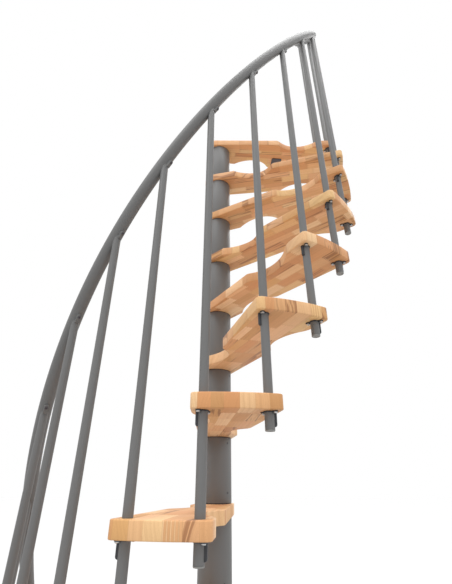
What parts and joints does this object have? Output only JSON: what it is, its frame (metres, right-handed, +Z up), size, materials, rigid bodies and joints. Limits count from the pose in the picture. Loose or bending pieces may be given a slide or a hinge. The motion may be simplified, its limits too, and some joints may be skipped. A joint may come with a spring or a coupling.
{
  "type": "spiral staircase",
  "caption": "Half-turn spiral staircase with paddle-shaped beech treads on a grey central pole, round balusters and a helical round handrail.",
  "frame": {"origin": "centre of the base plate's underside, on the pole's axis and on the floor", "axes": "+Z up along the pole, +X along the middle of the highest tread, +Y towards the landing behind that tread"},
  "size_m": [1.198, 0.724, 4.3283],
  "materials": {
    "beech": "clear-lacquered finger-jointed beech",
    "grey_powder_coat": "satin grey powder coat",
    "dark_steel": "dark grey powder coat",
    "black_nylon": "moulded, matt",
    "grey_nylon": "moulded, matt",
    "zinc_plated_steel": "bright zinc plate, for the screws of the visual model"
  },
  "bodies": {
    "root": {"base_plate": "grey_powder_coat", "tie_tube": "grey_powder_coat", "pole_spacers": "grey_powder_coat", "centring_discs": "black_nylon", "pole_cap": "grey_powder_coat", "pole_nut": "grey_powder_coat", "tread_01": "beech", "tread_02": "beech", "tread_03": "beech", "tread_04": "beech", "tread_05": "beech", "tread_06": "beech", "tread_07": "beech", "tread_08": "beech", "tread_09": "beech", "tread_10": "beech", "tread_11": "beech", "tread_12": "beech", "tread_13": "beech", "baluster_01": "grey_powder_coat", "baluster_02": "grey_powder_coat", "baluster_03": "grey_powder_coat", "baluster_04": "grey_powder_coat", "baluster_05": "grey_powder_coat", "baluster_06": "grey_powder_coat", "baluster_07": "grey_powder_coat", "baluster_08": "grey_powder_coat", "baluster_09": "grey_powder_coat", "baluster_10": "grey_powder_coat", "baluster_11": "grey_powder_coat", "baluster_12": "grey_powder_coat", "baluster_13": "grey_powder_coat", "baluster_14": "grey_powder_coat", "front_clamps": "black_nylon", "rear_clamps": "black_nylon", "baluster_plugs": "grey_nylon", "baluster_foot": "grey_powder_coat", "rail_brackets": "grey_powder_coat", "handrail": "grey_powder_coat", "landing_plate": "dark_steel"}
  },
  "joints": []
}
